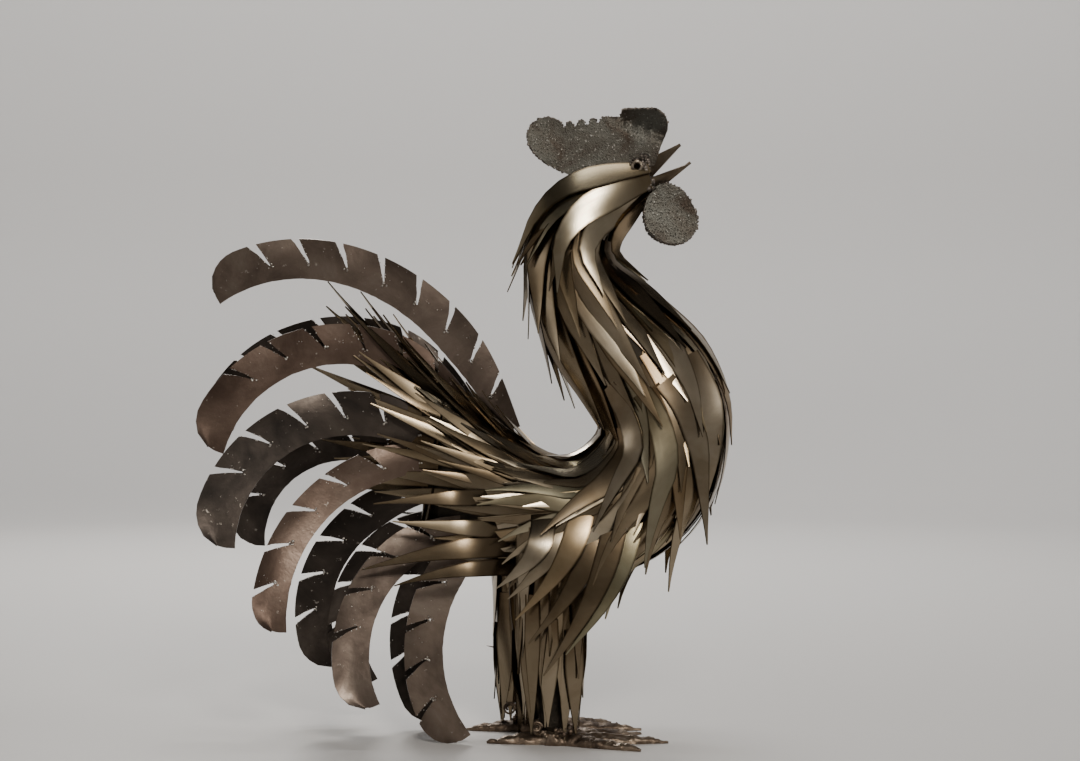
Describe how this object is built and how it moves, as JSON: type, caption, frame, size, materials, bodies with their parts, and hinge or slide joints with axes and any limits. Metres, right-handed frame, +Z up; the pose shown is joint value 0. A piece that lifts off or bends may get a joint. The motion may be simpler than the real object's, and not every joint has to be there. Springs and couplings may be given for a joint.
{
  "type": "scrap metal rooster sculpture",
  "caption": "Standing rooster welded from pointed sheet steel blades laid as feathers, with curved notched tail plates, a pitted comb and wattles, and flat spread feet.",
  "frame": {"origin": "on the ground, under the middle of the bounding box", "axes": "+X towards the beak, +Y to the bird's left, +Z up"},
  "size_m": [0.5864, 0.1914, 0.69],
  "materials": {
    "blade_steel": "satin",
    "tail_steel": "heat tinted, dull",
    "pitted_steel": "pitted",
    "weld_steel": "rough weld"
  },
  "bodies": {
    "root": {"neck_blades": "blade_steel", "body_blades": "blade_steel", "right_leg_blades": "blade_steel", "left_leg_blades": "blade_steel", "sickle_feather": "tail_steel", "right_tail_feather_1": "tail_steel", "left_tail_feather_1": "tail_steel", "right_tail_feather_2": "tail_steel", "left_tail_feather_2": "tail_steel", "right_tail_feather_3": "tail_steel", "left_tail_feather_3": "tail_steel", "right_tail_feather_4": "tail_steel", "left_tail_feather_4": "tail_steel", "right_tail_feather_5": "tail_steel", "left_tail_feather_5": "tail_steel", "comb": "pitted_steel", "right_wattle": "pitted_steel", "left_wattle": "pitted_steel", "right_foot": "weld_steel", "left_foot": "weld_steel", "upper_beak": "weld_steel", "lower_beak": "weld_steel", "right_eye_nut": "weld_steel", "left_eye_nut": "weld_steel"}
  },
  "joints": []
}
